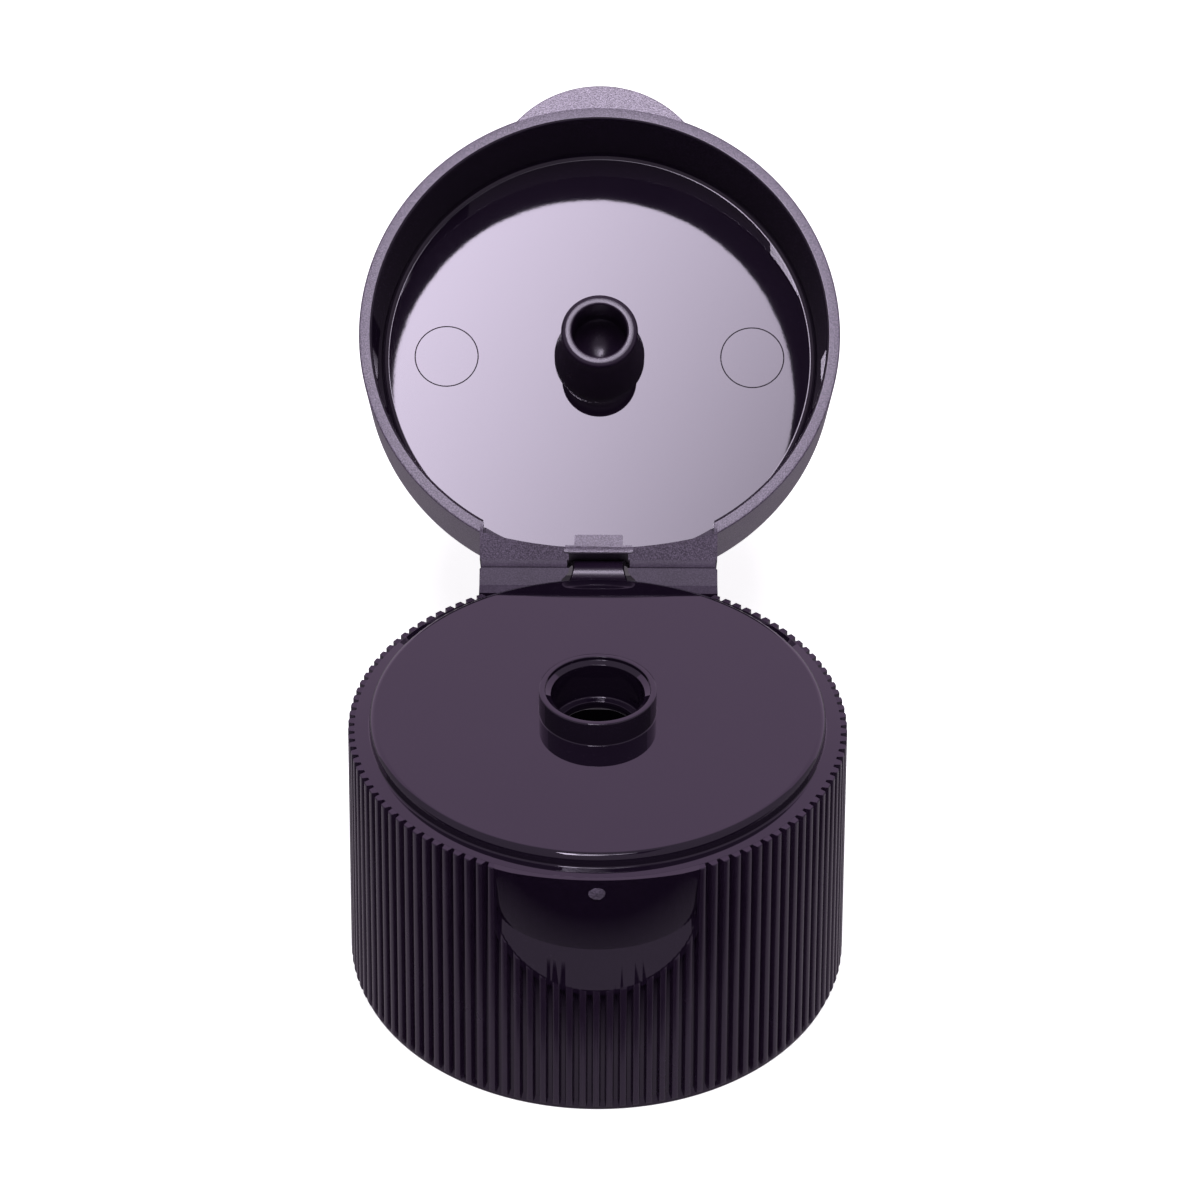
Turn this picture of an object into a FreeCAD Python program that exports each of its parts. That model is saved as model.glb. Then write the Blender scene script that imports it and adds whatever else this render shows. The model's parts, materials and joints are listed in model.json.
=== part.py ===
import FreeCAD, Part
import math
import os

import Sketcher
from FreeCAD import Placement, Rotation, Vector

# Flip-top closure moulded in one shot: a ribbed skirt with a spout, a lid held open on a snap hinge.
# Origin: cap axis at the skirt's bottom plane. +Z runs up the axis, +Y towards the hinge,
# -Y towards the thumb recess.

SIZES = {
    # ribbed skirt
    "skirtHeight": 16.4,
    "skirtWall": 1.44,
    "ribDraft": 0.32,
    "ribDepth": 0.36,
    "ribCrestWidth": 0.3,
    "ribRootWidth": 0.52,
    "ribCount": 120,
    "bandInset": 0.18,
    "bandHeight": 0.45,
    "bandChamfer": 0.15,
    # deck and spout
    "ledgeWidth": 1.2,
    "deckRise": 0.83,
    "deckEdgeChamfer": 0.28,
    "deckThickness": 1.6,
    "spoutRimWidth": 0.34,
    "spoutHeight": 1.5,
    "spoutSeatWidth": 0.33,
    "spoutMouthDepth": 0.22,
    "spoutSeatSlope": 0.12,
    "spoutBoreRadius": 2.62,
    "spoutBoreDepth": 2.6,
    "spoutLandWidth": 0.44,
    # neck socket
    "neckRadius": 12.2,
    "neckLandWidth": 0.3,
    "neckLandDepth": 3.0,
    "sealRadius": 6.5,
    "sealWall": 0.8,
    "sealDepth": 2.8,
    "sealTaper": 0.2,
    # thumb recess
    "recessHalfWidth": 5.35,
    "recessDrop": 5.4,
    "recessCornerRadius": 2.4,
    "recessDepth": 0.78,
    "recessWallRadius": 17.9,
    "recessFlare": 2.34,
    "gateMarkRadius": 0.45,
    "gateMarkHeight": 0.12,
    "gateMarkDrop": 0.95,
    # hinge
    "hingeStandOff": 0.27,
    "hingeRise": 0.7,
    "hingeGap": 0.25,
    "hingeParting": 0.04,
    "openAngle": 141.5,
    "rampLength": 0.9,
    "panelHalfWidth": 7.0,
    "panelDraft": 0.15,
    "windowDepth": 1.17,
    "windowTopHalf": 1.75,
    "windowShoulderHalf": 3.2,
    "windowShoulderDrop": 1.2,
    "windowFootHalf": 3.35,
    "windowDrop": 4.1,
    "filmThickness": 0.3,
    "strapThickness": 0.3,
    "strapBendRadius": 0.8,
    "strapTopHalf": 1.4,
    "strapFootHalf": 2.9,
    "strapSeatSetback": 0.65,
    "strapLeanAngle": 82.0,
    "strapLidOffset": 0.4,
    "filmInset": 0.1,
    # lid
    "lidRimGap": 0.06,
    "lidOverhang": 0.06,
    "lidDraft": 0.16,
    "lidHeight": 6.6,
    "lidEdgeRound": 0.9,
    "lidRimWidth": 0.78,
    "lidWallDraft": 0.48,
    "lidDepth": 4.75,
    "lidBackDraft": 0.12,
    "hingeWallThickness": 0.89,
    "hingeWallRadius": 28.6,
    "hingeWallRoot": 0.6,
    "hingeBayHalf": 6.8,
    "lidPartingLength": 0.6,
    "tongueHalfWidth": 1.5,
    "tongueDepth": 0.34,
    "lidWindowDepth": 0.6,
    "lidWindowDrop": 3.4,
    # tab
    "tabRadius": 6.75,
    "tabLength": 1.42,
    "tabThickness": 1.5,
    "tabTaper": 18.0,
    # plug
    "plugFlare": 0.615,
    "plugRootHeight": 0.45,
    "plugBeadLip": 0.18,
    "plugNeckHeight": 3.2,
    "plugClearance": 0.32,
    "plugBeadHeight": 0.75,
    "plugBeadChamfer": 0.25,
    "plugLength": 4.9,
    "plugWall": 0.47,
    "plugHoleDepth": 3.6,
}

EDGE = 1.0  # how far a cutting outline runs past the solid that it cuts
BEND_SAG = 0.25  # how far the hinge film sags at its middle, in hinge gaps
PANEL_ROOT = 0.5  # the hinge panel starts at this share of the neck radius, inside the shell
BAY_START = 0.5  # the hinge bay starts at this share of its reach, in the open cavity
RECESS_CUT = 4  # the recess's wall is cut over this many heights of the recess outline, half of them up
RIB_SINK = 1.6  # a rib reaches this many of its own depths inwards, so that it roots in the skirt


class Size:
    # A number and the sheet formula that gives it, so that one expression places a point and binds it.
    def __init__(self, value, formula):
        self.value = value
        self.formula = formula

    @staticmethod
    def of(item):
        return item if isinstance(item, Size) else Size(float(item), repr(float(item)))

    def join(self, other, sign, value):
        return Size(value, "(%s %s %s)" % (self.formula, sign, other.formula))

    def __add__(self, other):
        other = Size.of(other)
        return self.join(other, "+", self.value + other.value)

    def __sub__(self, other):
        other = Size.of(other)
        return self.join(other, "-", self.value - other.value)

    def __mul__(self, other):
        other = Size.of(other)
        return self.join(other, "*", self.value * other.value)

    def __truediv__(self, other):
        other = Size.of(other)
        return self.join(other, "/", self.value / other.value)

    def __neg__(self):
        return Size(-self.value, "(0 - %s)" % self.formula)

    def root(self):
        return Size(math.sqrt(self.value), "sqrt(%s)" % self.formula)


def sizeSheet(doc):
    # One row for each driving size: its name, then its value under an alias.
    sheet = doc.addObject("Spreadsheet::Sheet", "sizes")
    for row, (name, value) in enumerate(SIZES.items(), start=1):
        sheet.set("A%d" % row, name)
        sheet.set("B%d" % row, str(value))
        sheet.setAlias("B%d" % row, name)
    doc.recompute()
    return sheet


doc = FreeCAD.newDocument("flip_top_closure")
sheet = sizeSheet(doc)


def size(name):
    return Size(float(sheet.get(name)), "sizes." + name)


def plane(body, role):
    for feature in body.Origin.OriginFeatures:
        if feature.Role == role:
            return feature
    raise ValueError("no plane " + role)


def newSketch(body, name, role, offset=None):
    # A sketch on one of the body's own planes, lifted by offset along the plane's normal.
    sketch = body.newObject("Sketcher::SketchObject", name)
    sketch.AttachmentSupport = [(plane(body, role), "")]
    sketch.MapMode = "FlatFace"
    if offset is not None:
        sketch.setExpression("AttachmentOffset.Base.z", offset.formula)
    return sketch


def arcCurve(start, end, radius, turn):
    # Short arc from start to end. turn is +1 where it bends to the left of its travel, -1 to the right.
    chord = end - start
    half = chord.Length / 2
    rise = math.sqrt(max(radius * radius - half * half, 0.0))
    left = Vector(-chord.y, chord.x, 0).normalize()
    centre = start + chord * 0.5 + left * (rise * turn)
    first, last = (start, end) if turn > 0 else (end, start)
    angles = [math.atan2(point.y - centre.y, point.x - centre.x) for point in (first, last)]
    return Part.ArcOfCircle(Part.Circle(centre, Vector(0, 0, 1), radius), angles[0], angles[1])


def bindPoint(sketch, geometry, position, corner):
    for kind, axis, coordinate in (("DistanceX", -2, corner[0]), ("DistanceY", -1, corner[1])):
        coordinate = Size.of(coordinate)
        if coordinate.value == 0.0:
            sketch.addConstraint(Sketcher.Constraint("PointOnObject", geometry, position, axis))
            continue
        index = sketch.addConstraint(Sketcher.Constraint(kind, -1, 1, geometry, position, coordinate.value))
        sketch.setExpression("Constraints[%d]" % index, coordinate.formula)


def drawOutline(sketch, corners):
    # Closed outline through the corners. A corner of four entries is reached by an arc: its radius and turn.
    points = [Vector(Size.of(corner[0]).value, Size.of(corner[1]).value, 0) for corner in corners]
    starts, ends = [], []
    for index, corner in enumerate(corners):
        start, end = points[index - 1], points[index]
        if len(corner) == 4:
            curve = arcCurve(start, end, Size.of(corner[2]).value, corner[3])
            geometry = sketch.addGeometry(curve, False)
            forwards = corner[3] > 0
            starts.append((geometry, 1 if forwards else 2))
            ends.append((geometry, 2 if forwards else 1))
        else:
            geometry = sketch.addGeometry(Part.LineSegment(start, end), False)
            starts.append((geometry, 1))
            ends.append((geometry, 2))
    for index, corner in enumerate(corners):
        following = starts[(index + 1) % len(corners)]
        sketch.addConstraint(Sketcher.Constraint("Coincident", *ends[index], *following))
        bindPoint(sketch, ends[index][0], ends[index][1], corner)
        if len(corner) == 4:
            radius = Size.of(corner[2])
            added = sketch.addConstraint(Sketcher.Constraint("Radius", ends[index][0], radius.value))
            sketch.setExpression("Constraints[%d]" % added, radius.formula)
    doc.recompute()


def drawCircle(sketch, centre, radius):
    point = Vector(Size.of(centre[0]).value, Size.of(centre[1]).value, 0)
    geometry = sketch.addGeometry(Part.Circle(point, Vector(0, 0, 1), radius.value), False)
    bindPoint(sketch, geometry, 3, centre)
    index = sketch.addConstraint(Sketcher.Constraint("Radius", geometry, radius.value))
    sketch.setExpression("Constraints[%d]" % index, radius.formula)
    doc.recompute()


def turned(body, kind, name, corners):
    # A revolution or groove about the vertical axis, from an outline of radius and height.
    sketch = newSketch(body, name + "_sketch", "XZ_Plane")
    drawOutline(sketch, corners)
    feature = body.newObject("PartDesign::" + kind, name)
    feature.Profile = sketch
    feature.ReferenceAxis = (sketch, ["V_Axis"])
    feature.Angle = 360.0
    doc.recompute()
    return feature


def extruded(body, kind, name, sketch, length, reverse=False, middle=False, taper=None):
    feature = body.newObject("PartDesign::" + kind, name)
    feature.Profile = sketch
    feature.Length = length.value
    feature.setExpression("Length", length.formula)
    feature.Reversed = reverse
    if middle:
        feature.Midplane = True
    if taper is not None:
        feature.setExpression("TaperAngle", taper.formula)
    doc.recompute()
    return feature


def leaningPad(body, name, sketch, lean, length, middle=False):
    # A pad along a leaning direction, its length measured square to the sketch.
    pad = body.newObject("PartDesign::Pad", name)
    pad.Profile = sketch
    pad.UseCustomVector = True
    pad.AlongSketchNormal = True
    pad.Direction = Vector(*[part.value for part in lean])
    for letter, part in zip("xyz", lean):
        pad.setExpression("Direction." + letter, part.formula)
    pad.Midplane = middle
    pad.setExpression("Length", length.formula)
    doc.recompute()
    return pad


# Heights that several features share, above the skirt's bottom plane
neckRadius, skirtHeight = size("neckRadius"), size("skirtHeight")
ribTop = neckRadius + size("skirtWall") + size("ribDepth")
ribFoot = ribTop + size("ribDraft")
bandRadius = ribFoot - size("bandInset")
deckRadius = ribTop - size("ledgeWidth")
neckLand = neckRadius - size("neckLandWidth")
spoutBore = size("spoutBoreRadius")
spoutMouth = spoutBore + size("spoutSeatWidth")
spoutRadius = spoutMouth + size("spoutRimWidth")
orificeRadius = spoutBore - size("spoutLandWidth")
recessWallReach = ribTop - size("recessDepth")
hingeReach = ribTop + size("hingeStandOff")
deckTop = skirtHeight + size("deckRise")
spoutTop = deckTop + size("spoutHeight")
deckUnderside = deckTop - size("deckThickness")
hingeHeight = skirtHeight + size("hingeRise")
rampFoot = ribTop - size("rampLength")
panelTopReach = hingeReach - size("hingeGap")
panelFootReach = hingeReach + size("panelDraft")
windowFloor = hingeReach - size("windowDepth")
strapSeatReach = hingeReach - size("strapSeatSetback")
panelTop = hingeHeight - size("hingeParting")
panelHalf = size("panelHalfWidth")


def skirtShell(body):
    grooveFoot = ribFoot - size("ribDepth")
    grooveTop = ribTop - size("ribDepth")
    bandTop, bevel, edge = size("bandHeight"), size("bandChamfer"), size("deckEdgeChamfer")
    return turned(body, "Revolution", "skirt_and_deck", [
        (0, 0), (bandRadius - bevel, 0), (bandRadius, bevel), (bandRadius, bandTop), (grooveFoot, bandTop),
        (grooveTop, skirtHeight), (deckRadius, skirtHeight), (deckRadius, deckTop - edge),
        (deckRadius - edge, deckTop), (spoutRadius, deckTop), (spoutRadius, spoutTop), (0, spoutTop)])


def gripRibs(body):
    # One rib that leans with the skirt's draft, repeated round the axis.
    bandTop, root = size("bandHeight"), ribFoot - size("ribDepth") * RIB_SINK
    halfCrest, halfRoot = size("ribCrestWidth") / 2, size("ribRootWidth") / 2
    sketch = newSketch(body, "rib_sketch", "XY_Plane", bandTop)
    drawOutline(sketch, [(root, -halfRoot), (ribFoot, -halfCrest), (ribFoot, halfCrest), (root, halfRoot)])
    height = skirtHeight - bandTop
    rib = leaningPad(body, "rib", sketch, (ribTop - ribFoot, Size.of(0), height), height)
    pattern = body.newObject("PartDesign::PolarPattern", "grip_ribs")
    pattern.Originals = [rib]
    pattern.Axis = (plane(body, "Z_Axis"), [""])
    pattern.Angle = 360.0
    pattern.setExpression("Occurrences", "sizes.ribCount")
    pattern.Refine = False
    body.Tip = pattern
    doc.recompute()


def hingePanel(body):
    # Flat back panel that carries the hinge. Its top is a ramp from the ledge up to the hinge line.
    sketch = newSketch(body, "panel_sketch", "YZ_Plane")
    drawOutline(sketch, [
        (neckRadius * PANEL_ROOT, 0), (panelFootReach, 0), (panelTopReach, panelTop),
        (rampFoot, skirtHeight), (neckRadius * PANEL_ROOT, skirtHeight)])
    extruded(body, "Pad", "hinge_panel", sketch, panelHalf * 2, middle=True)


def hingeWindow(body):
    # Opening in the panel that the snap strap comes up through, narrow at the hinge line.
    sketch = newSketch(body, "window_sketch", "XZ_Plane", -windowFloor)
    bottom = hingeHeight - size("windowDrop")
    drawOutline(sketch, windowOutline(hingeHeight, bottom, panelTop + EDGE, -1))
    extruded(body, "Pocket", "hinge_window", sketch, panelFootReach - windowFloor + EDGE)


def windowOutline(axisHeight, end, beyond, side):
    # Bow-tie half: narrow at the hinge line, a shoulder, then the foot. side is -1 below the line, +1 above.
    top, shoulder, foot = size("windowTopHalf"), size("windowShoulderHalf"), size("windowFootHalf")
    neck = axisHeight + size("hingeGap") * side
    bend = axisHeight + size("windowShoulderDrop") * side
    right = [(foot, end), (shoulder, bend), (top, neck), (top, beyond)]
    return right + [(-half, height) for half, height in reversed(right)]


def neckSocket(body):
    # Everything hollow: the neck socket round its seal ring, the orifice, and the spout's stepped bore.
    seal = size("sealRadius")
    sealInside, sealFoot = seal - size("sealWall"), deckUnderside - size("sealDepth")
    land, seat = spoutTop - size("spoutBoreDepth"), spoutTop - size("spoutMouthDepth")
    neckEnd = deckUnderside - size("neckLandDepth")
    turned(body, "Groove", "neck_socket", [
        (0, -EDGE), (neckRadius, -EDGE), (neckRadius, neckEnd), (neckLand, neckEnd),
        (neckLand, deckUnderside), (seal, deckUnderside),
        (seal - size("sealTaper"), sealFoot), (sealInside, sealFoot), (sealInside, deckUnderside),
        (orificeRadius, deckUnderside), (orificeRadius, land), (spoutBore, land),
        (spoutBore, seat - size("spoutSeatSlope")), (spoutMouth, seat), (spoutMouth, spoutTop + EDGE),
        (0, spoutTop + EDGE)])


def recessTool():
    # The thumb recess as a solid: a U-shaped prism that leans outwards, cut back to the recess's curved wall.
    body = doc.addObject("PartDesign::Body", "thumb_recess_tool")
    half, corner, wall = size("recessHalfWidth"), size("recessCornerRadius"), recessWallReach
    bottom = skirtHeight - size("recessDrop")
    depth = ribFoot - wall + EDGE
    top = deckTop + EDGE + depth * size("recessFlare")
    sketch = newSketch(body, "recess_sketch", "XZ_Plane", wall)
    drawOutline(sketch, [
        (-half, top), (-half, bottom + corner), (-half + corner, bottom, corner, 1),
        (half - corner, bottom), (half, bottom + corner, corner, 1), (half, top)])
    lean = (Size.of(0), Size.of(-1), -size("recessFlare"))
    leaningPad(body, "recess_prism", sketch, lean, depth * 2, middle=True)
    wallSketch = newSketch(body, "recess_wall_sketch", "XY_Plane")
    drawCircle(wallSketch, (0, size("recessWallRadius") - wall), size("recessWallRadius"))
    extruded(body, "Pocket", "recess_wall", wallSketch, top * RECESS_CUT, middle=True)
    markSketch = newSketch(body, "gate_sketch", "XZ_Plane", wall + size("gateMarkHeight"))
    drawCircle(markSketch, (0, skirtHeight - size("gateMarkDrop")), size("gateMarkRadius"))
    extruded(body, "Pocket", "gate_mark", markSketch, size("gateMarkHeight") + EDGE)
    return body


def closureBody():
    # Turned and padded features come first, then the ribs, then what cuts through them.
    body = doc.addObject("PartDesign::Body", "closure_solid")
    skirtShell(body)
    hingePanel(body)
    neckSocket(body)
    gripRibs(body)
    hingeWindow(body)
    cut = doc.addObject("Part::Cut", "closure_body")
    cut.Base = body
    cut.Tool = recessTool()
    doc.recompute()
    return cut


# Heights of the lid in its own frame: origin at the centre of its rim plane, as it lies when closed
lidRim = ribFoot + size("lidOverhang")
lidCrown, lidMouth = lidRim - size("lidDraft"), lidRim - size("lidRimWidth")
lidFloor = lidMouth - size("lidWallDraft")
hingeWallReach = hingeReach - size("hingeWallThickness")
tongueReach = hingeWallReach - size("tongueDepth")
lidPartingStart = rampFoot - size("lidPartingLength")
lidWindowFloor = hingeReach - size("lidWindowDepth")
tabReach = lidRim + size("tabLength")
plugBead = spoutBore - size("plugClearance")
plugNeck = plugBead - size("plugBeadLip")
plugRoot, plugHole = plugNeck + size("plugFlare"), plugNeck - size("plugWall")
lidHingeRise = size("hingeRise") - size("lidRimGap")
lidPartingTop = lidHingeRise + size("hingeParting")
lidHeight, lidDepth, lidRound = size("lidHeight"), size("lidDepth"), size("lidEdgeRound")
lidBackReach = panelTopReach - size("lidBackDraft")


def lidShell(body):
    turned(body, "Revolution", "lid_crown", [
        (0, 0), (lidRim, 0), (lidCrown, lidHeight - lidRound),
        (lidCrown - lidRound, lidHeight, lidRound, 1), (0, lidHeight)])
    sketch = newSketch(body, "tab_sketch", "XY_Plane")
    drawCircle(sketch, (0, size("tabRadius") - tabReach), size("tabRadius"))
    extruded(body, "Pad", "thumb_tab", sketch, size("tabThickness"), taper=-size("tabTaper"))
    turned(body, "Groove", "lid_cavity", [
        (0, -EDGE), (lidMouth, -EDGE), (lidMouth, 0), (lidFloor, lidDepth), (0, lidDepth)])


def lidHingeWall(body):
    # The lid's back: the round wall opened out into a flatter one, the top carried out to it, and a tongue.
    half, reach, radius = size("hingeBayHalf"), hingeWallReach, size("hingeWallRadius")
    bay = newSketch(body, "hinge_bay_sketch", "XY_Plane")
    drawOutline(bay, [(-half, reach * BAY_START), (half, reach * BAY_START), (half, reach), (-half, reach)])
    extruded(body, "Pocket", "hinge_bay", bay, lidDepth, reverse=True)
    end = reach - radius + (radius * radius - half * half).root()
    root = end - size("hingeWallRoot")
    wall = newSketch(body, "hinge_wall_sketch", "XY_Plane")
    drawOutline(wall, [
        (-half, end, radius, 1), (-half, root), (-panelHalf, root), (-panelHalf, hingeReach),
        (panelHalf, hingeReach), (panelHalf, root), (half, root), (half, end)])
    extruded(body, "Pad", "hinge_wall", wall, lidHeight)
    crown = newSketch(body, "hinge_crown_sketch", "XY_Plane", lidDepth)
    drawOutline(crown, [
        (-panelHalf, root), (panelHalf, root), (panelHalf, hingeReach), (-panelHalf, hingeReach)])
    extruded(body, "Pad", "hinge_crown", crown, lidHeight - lidDepth)
    tongue, tongueHalf = newSketch(body, "tongue_sketch", "XY_Plane"), size("tongueHalfWidth")
    drawOutline(tongue, [
        (-tongueHalf, tongueReach), (tongueHalf, tongueReach), (tongueHalf, reach), (-tongueHalf, reach)])
    extruded(body, "Pad", "tongue", tongue, lidDepth)


def lidBackTrim(body):
    # Side view of what is taken off the lid's back: under the ramp, behind the flat, over the round edge.
    sketch = newSketch(body, "back_trim_sketch", "YZ_Plane")
    outside = lidRim + EDGE
    drawOutline(sketch, [
        (lidPartingStart, -EDGE), (outside, -EDGE), (outside, lidHeight + EDGE),
        (lidBackReach - lidRound, lidHeight + EDGE), (lidBackReach - lidRound, lidHeight),
        (lidBackReach, lidHeight - lidRound, lidRound, -1), (panelTopReach, lidPartingTop),
        (lidPartingStart, 0)])
    extruded(body, "Pocket", "back_trim", sketch, panelHalf * 2, middle=True)
    window = newSketch(body, "lid_window_sketch", "XZ_Plane", -lidWindowFloor)
    end = lidHingeRise + size("lidWindowDrop")
    drawOutline(window, windowOutline(lidHingeRise, end, Size.of(-EDGE), 1))
    extruded(body, "Pocket", "lid_window", window, hingeReach - lidWindowFloor + EDGE)


def lidPlug(body):
    # Hollow plug that enters the spout: a flared root, a neck, and a bead at its tip.
    tip, chamfer = lidDepth - size("plugLength"), size("plugBeadChamfer")
    beadTop, holeEnd = tip + size("plugBeadHeight"), tip + size("plugHoleDepth")
    inLid = lidHeight - lidRound
    turned(body, "Revolution", "plug", [
        (0, inLid), (plugRoot, inLid), (plugRoot, lidDepth - size("plugRootHeight")),
        (plugNeck, lidDepth - size("plugNeckHeight")), (plugNeck, beadTop), (plugBead, beadTop - chamfer),
        (plugBead, tip + chamfer), (plugBead - chamfer, tip), (plugHole, tip), (plugHole, holeEnd),
        (0, holeEnd)])


def openPlacement():
    # Where the lid's own frame goes: closed on the ledge, then swung open about the hinge line.
    hinge = Vector(0, hingeReach.value, hingeHeight.value)
    closed = Vector(0, 0, (skirtHeight + size("lidRimGap")).value)
    swing = Rotation(Vector(1, 0, 0), -size("openAngle").value)
    return Placement(hinge + swing.multVec(closed - hinge), swing)


def flipLid():
    body = doc.addObject("PartDesign::Body", "flip_lid")
    lidShell(body)
    lidHingeWall(body)
    lidBackTrim(body)
    lidPlug(body)
    body.Placement = openPlacement()
    doc.recompute()
    return body


def hingePoint(reach, rise):
    # A point of the side view, given from the hinge line.
    return Vector(0, hingeReach.value + reach, hingeHeight.value + rise)


def openPoint(reach, rise):
    # The same for a point that belongs to the lid: given closed, returned where it is when the lid is open.
    angle = -math.radians(size("openAngle").value)
    turnedReach = reach * math.cos(angle) - rise * math.sin(angle)
    turnedRise = reach * math.sin(angle) + rise * math.cos(angle)
    return hingePoint(turnedReach, turnedRise)


def throughThree(points):
    return Part.Arc(*points).toShape()


def sideSolid(edges, left, right):
    # A side-view outline pulled out sideways from left to right.
    face = Part.Face(Part.Wire(edges))
    face.translate(Vector(left, 0, 0))
    return face.extrude(Vector(right - left, 0, 0))


def hingeFilm(name, left, right):
    # Thin web that bends at the hinge line: it spans from the panel's top edge to the lid's back edge.
    gap, parting = size("hingeGap").value, size("hingeParting").value
    thickness = size("filmThickness").value
    bodySlope = ((panelFootReach - panelTopReach) / panelTop).value
    lidSlope = (size("lidBackDraft") / (lidHeight - lidRound - lidPartingTop)).value
    bodyTop = hingePoint(-gap, -parting)
    bodyFoot = hingePoint(bodySlope * thickness - gap, -parting - thickness)
    lidTop, lidFoot = openPoint(-gap, parting), openPoint(-gap - lidSlope * thickness, parting + thickness)
    bend = (bodyTop + lidTop) * 0.5
    across = (lidTop - bodyTop).cross(Vector(1, 0, 0)).normalize()
    sag = gap * BEND_SAG
    upper = throughThree([bodyTop, bend + across * sag, lidTop])
    lower = throughThree([bodyFoot, bend + across * (sag + thickness), lidFoot])
    edges = [upper, Part.makeLine(lidTop, lidFoot), lower, Part.makeLine(bodyFoot, bodyTop)]
    film = doc.addObject("Part::Feature", name)
    film.Shape = sideSolid(edges, left, right)
    return film


def strapEdges():
    # Side view of the strap: up from the panel's window, over in one bend, down into the lid's window.
    half, radius = size("strapThickness").value / 2, size("strapBendRadius").value
    lean, offset = math.radians(size("strapLeanAngle").value), size("strapLidOffset").value
    seat = Vector(0, strapSeatReach.value, (hingeHeight - size("windowDrop")).value)
    lidEnd = openPoint(-offset, size("lidWindowDrop").value)
    up = Vector(0, math.cos(lean), math.sin(lean))
    back = (openPoint(-offset, 0) - lidEnd).normalize()
    outUp, outBack = Vector(0, -up.z, up.y), Vector(0, back.z, -back.y)
    # The two legs' lines meet at a corner, which the bend rounds off.
    span = lidEnd - seat
    corner = seat + up * ((span.y * back.z - span.z * back.y) / (up.y * back.z - up.z * back.y))
    tangent = radius * math.tan(up.getAngle(-back) / 2)
    bendStart, bendEnd = corner - up * tangent, corner - back * tangent
    centre = bendStart - outUp * radius
    outwards = (outUp + outBack).normalize()
    sides = []
    for side in (-half, half):
        low = seat + outUp * side
        sides.append([low - up * ((low.z - seat.z) / up.z), bendStart + outUp * side,
                      centre + outwards * (radius + side), bendEnd + outBack * side, lidEnd + outBack * side])
    edges = [Part.makeLine(sides[0][0], sides[1][0]), Part.makeLine(sides[0][4], sides[1][4])]
    for low, start, top, end, high in sides:
        edges += [Part.makeLine(low, start), throughThree([start, top, end]), Part.makeLine(end, high)]
    return Part.__sortEdges__(edges)


def snapStrap():
    # The bent strap, trimmed in front view to a bow that widens towards both of its roots.
    wide, narrow = size("strapFootHalf").value, size("strapTopHalf").value
    band = sideSolid(strapEdges(), -wide, wide)
    bounds = band.BoundBox
    corners = [(-wide, bounds.ZMin), (wide, bounds.ZMin), (narrow, bounds.ZMax), (-narrow, bounds.ZMax)]
    points = [Vector(x, bounds.YMin - EDGE, z) for x, z in corners]
    prism = Part.Face(Part.makePolygon(points + points[:1])).extrude(Vector(0, bounds.YLength + 2 * EDGE, 0))
    strap = doc.addObject("Part::Feature", "snap_strap")
    strap.Shape = band.common(prism)
    return strap


def writeParts(parts):
    # Everything is checked before anything is written.
    for item in doc.Objects:
        if "Invalid" in item.State or "Error" in item.State:
            raise RuntimeError("%s failed: %s" % (item.Name, item.State))
    for part in parts:
        if part.Shape.isNull() or not part.Shape.isValid() or len(part.Shape.Solids) != 1:
            raise RuntimeError("%s has no sound shape" % part.Label)
    os.makedirs("parts", exist_ok=True)
    for part in parts:
        part.Shape.exportStep("parts/%s.step" % part.Label)
        print(part.Label, round(part.Shape.Volume, 2), "mm3,", len(part.Shape.Faces), "faces")


filmInner = (size("windowTopHalf") + size("filmInset")).value
filmOuter = (panelHalf - size("filmInset")).value
writeParts([
    closureBody(),
    flipLid(),
    hingeFilm("hinge_film_left", -filmOuter, -filmInner),
    hingeFilm("hinge_film_right", filmInner, filmOuter),
    snapStrap(),
])
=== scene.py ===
import bpy
import json
import math
from mathutils import Matrix, Vector


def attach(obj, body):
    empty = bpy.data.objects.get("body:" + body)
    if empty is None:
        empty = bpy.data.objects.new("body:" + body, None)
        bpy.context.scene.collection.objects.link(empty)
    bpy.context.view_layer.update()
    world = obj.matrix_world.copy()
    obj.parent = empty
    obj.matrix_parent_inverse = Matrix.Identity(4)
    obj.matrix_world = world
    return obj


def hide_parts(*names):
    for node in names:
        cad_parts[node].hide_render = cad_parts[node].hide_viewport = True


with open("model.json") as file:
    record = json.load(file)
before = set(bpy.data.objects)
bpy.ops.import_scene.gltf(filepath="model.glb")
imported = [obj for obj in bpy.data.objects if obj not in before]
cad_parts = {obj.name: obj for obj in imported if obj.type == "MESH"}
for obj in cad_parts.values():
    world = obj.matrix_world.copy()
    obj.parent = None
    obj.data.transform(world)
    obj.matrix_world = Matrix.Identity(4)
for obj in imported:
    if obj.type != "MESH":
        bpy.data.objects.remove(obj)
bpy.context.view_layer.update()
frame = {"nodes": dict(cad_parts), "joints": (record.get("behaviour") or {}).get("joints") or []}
millimetre = 0.001
hinge = Vector(frame["joints"][0]["pos_m"]) / millimetre
openAngle = math.radians(frame["joints"][0]["range_deg"][1])
print("frame loaded")


# Pieces are modelled in millimetres round the cap's axis and brought to metres at the end
def clearSelection():
    bpy.ops.object.select_all(action="DESELECT")


def leaveEdit():
    bpy.ops.object.mode_set(mode="OBJECT")


def applyPlace():
    bpy.ops.object.transform_apply(location=True, rotation=True, scale=True)


def selectOnly(*pieces):
    clearSelection()
    for piece in pieces:
        piece.select_set(True)
    bpy.context.view_layer.objects.active = pieces[0]


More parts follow.
